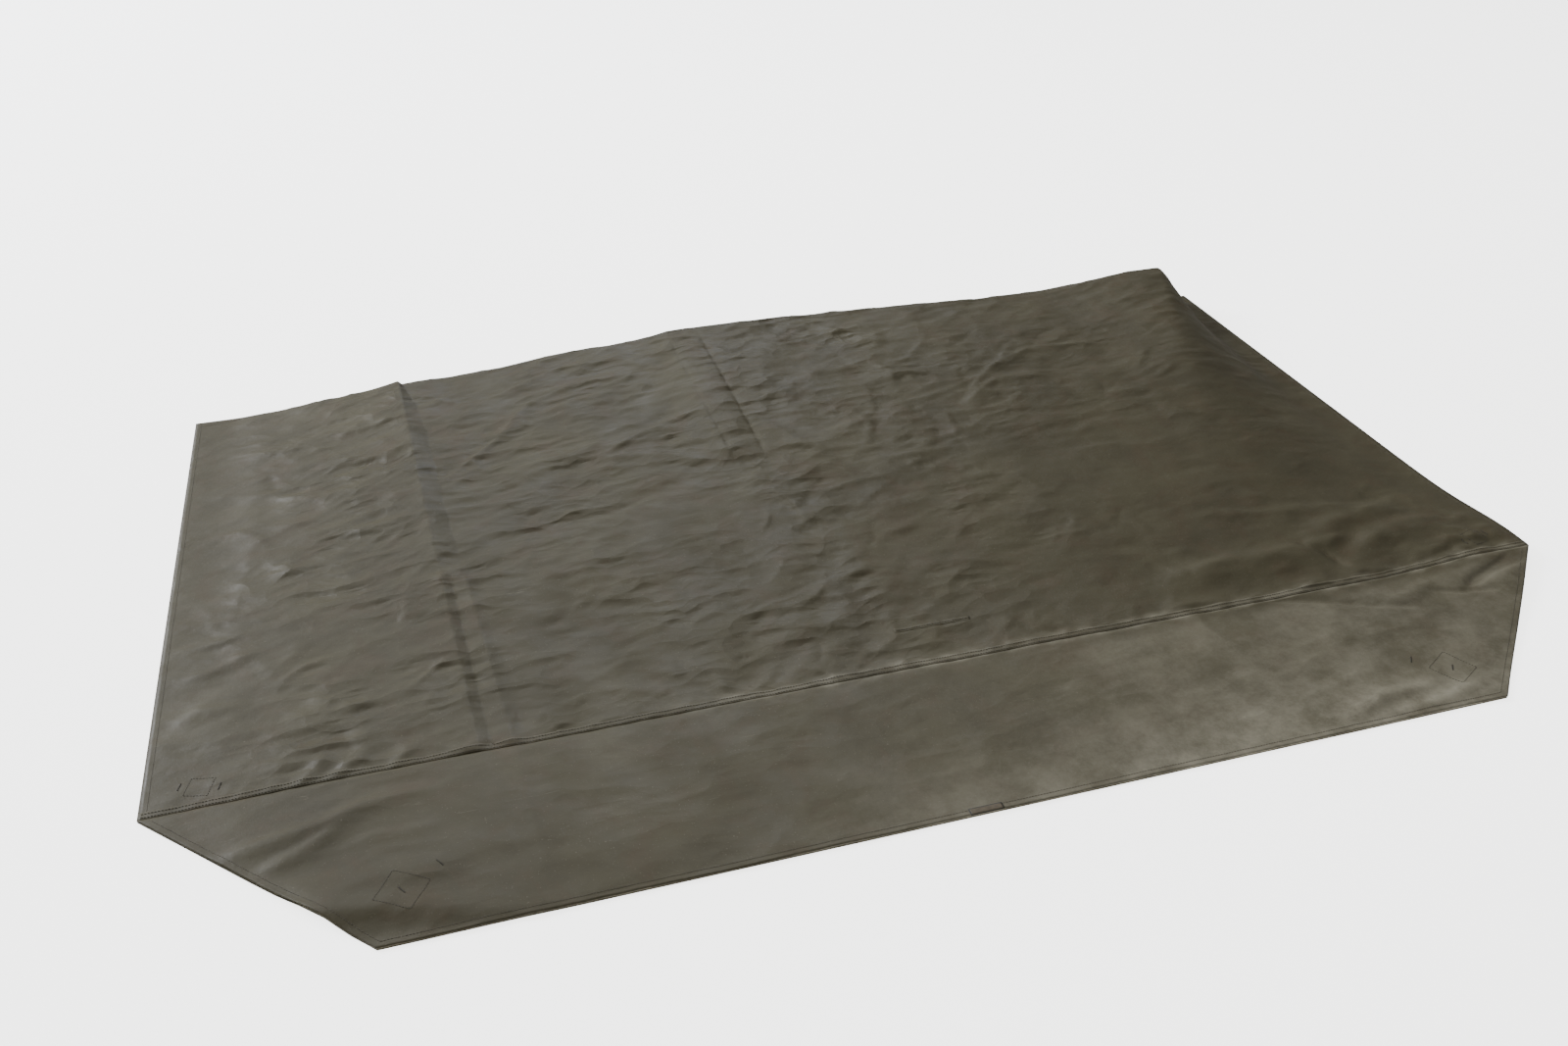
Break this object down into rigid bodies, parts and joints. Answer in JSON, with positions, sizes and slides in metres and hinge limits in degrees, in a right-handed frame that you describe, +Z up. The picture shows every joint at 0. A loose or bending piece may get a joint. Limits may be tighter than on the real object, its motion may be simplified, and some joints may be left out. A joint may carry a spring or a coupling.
{
  "type": "two-person bivouac sack",
  "caption": "Flat-lying emergency bivouac sack of coated cloth: a wide envelope, open along one long side, where each wall ends in a mitred skirt to sit on.",
  "frame": {"origin": "middle of the outline's bounding box, on the ground under the sack", "axes": "+X along the ridge, from the left end to the right end as seen from the mouth; +Y from the mouth to the ridge; +Z up"},
  "size_m": [2.4, 1.5432, 0.1048],
  "materials": {
    "coated_nylon": "worn olive coated nylon with a soft sheen",
    "nylon_tape": "woven olive tape",
    "label_tape": "blank woven tan label"
  },
  "bodies": {
    "sack": {"left_end_seam": "coated_nylon", "lower_corner_left_patch": "coated_nylon", "lower_corner_left_tape": "nylon_tape", "lower_corner_right_patch": "coated_nylon", "lower_corner_right_tape": "nylon_tape", "lower_left_hem": "coated_nylon", "lower_mouth_hem": "coated_nylon", "lower_right_hem": "coated_nylon", "lower_skirt": "coated_nylon", "lower_skirt_left_patch": "coated_nylon", "lower_skirt_left_tape": "nylon_tape", "lower_skirt_right_patch": "coated_nylon", "lower_skirt_right_tape": "nylon_tape", "lower_skirt_seam": "coated_nylon", "lower_wall": "coated_nylon", "mend_strip": "coated_nylon", "ridge_seam": "coated_nylon", "right_end_seam": "coated_nylon", "upper_corner_left_patch": "coated_nylon", "upper_corner_left_tape": "nylon_tape", "upper_corner_right_patch": "coated_nylon", "upper_corner_right_tape": "nylon_tape", "upper_skirt_seam": "coated_nylon", "upper_wall": "coated_nylon"},
    "upper_skirt": {"hem_label": "label_tape", "upper_left_hem": "coated_nylon", "upper_mouth_hem": "coated_nylon", "upper_right_hem": "coated_nylon", "upper_skirt": "coated_nylon", "upper_skirt_left_patch": "coated_nylon", "upper_skirt_left_tape": "nylon_tape", "upper_skirt_right_patch": "coated_nylon", "upper_skirt_right_tape": "nylon_tape"}
  },
  "joints": [
    {"name": "upper_skirt_fold", "type": "hinge", "parent": "sack", "child": "upper_skirt", "pos_m": [0, -0.4435, 0.0111], "axis": [-1, 0, 0], "range_deg": [0, 165]}
  ]
}
